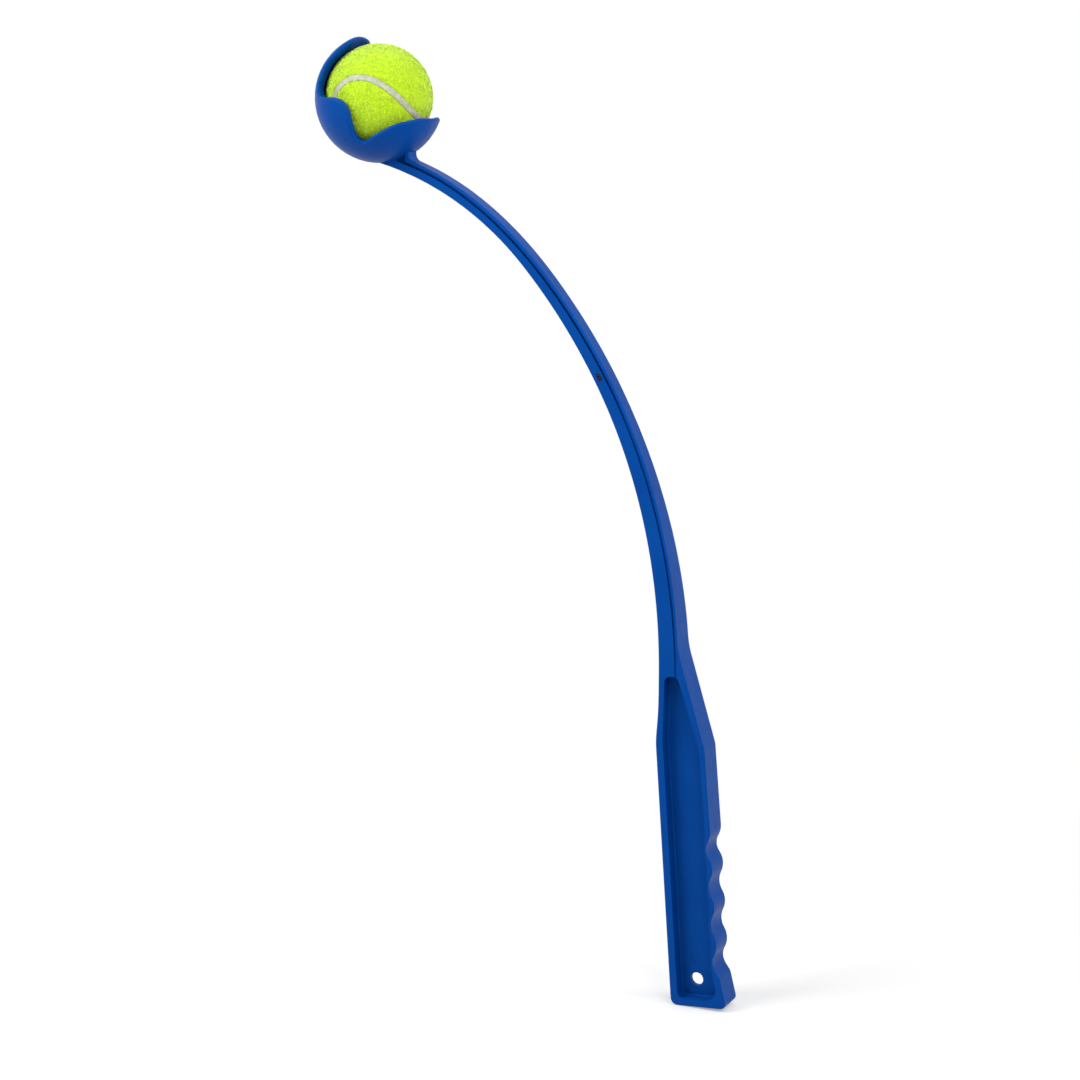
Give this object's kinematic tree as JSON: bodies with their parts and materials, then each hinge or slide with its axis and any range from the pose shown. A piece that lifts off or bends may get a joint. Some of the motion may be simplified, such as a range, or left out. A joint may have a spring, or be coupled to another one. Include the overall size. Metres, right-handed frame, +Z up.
{
  "type": "dog ball launcher with ball",
  "caption": "Hand-swung ball launcher: a round open cup on a long curved grooved arm with a cored, finger-scalloped handle, holding a felt ball.",
  "frame": {"origin": "centre of the hang hole, at the middle of the handle's web", "axes": "+Z up along the launcher from butt to cup, +X towards the finger scallops and away from the arm's bend, +Y square to the parting plane, along the hang hole"},
  "size_m": [0.2739, 0.0766, 0.5744],
  "materials": {
    "blue_polypropylene": "injection moulded polypropylene, satin",
    "core_rubber": "pressed rubber",
    "rubber_cement": "cured rubber cement",
    "yellow_green_felt": "needled felt with a raised nap",
    "seam_rubber": "smooth vulcanised seam"
  },
  "bodies": {
    "launcher": {"launcher_moulding": "blue_polypropylene"},
    "ball": {"ball_core_half_left": "core_rubber", "ball_core_half_right": "core_rubber", "ball_core_bond_ring": "rubber_cement", "ball_felt_panel_a": "yellow_green_felt", "ball_felt_panel_b": "yellow_green_felt", "ball_seam": "seam_rubber"}
  },
  "joints": [
    {"name": "ball_release", "type": "slide", "parent": "launcher", "child": "ball", "axis": [0.7071, 0, 0.7071], "range_m": [0, 0.075]}
  ]
}
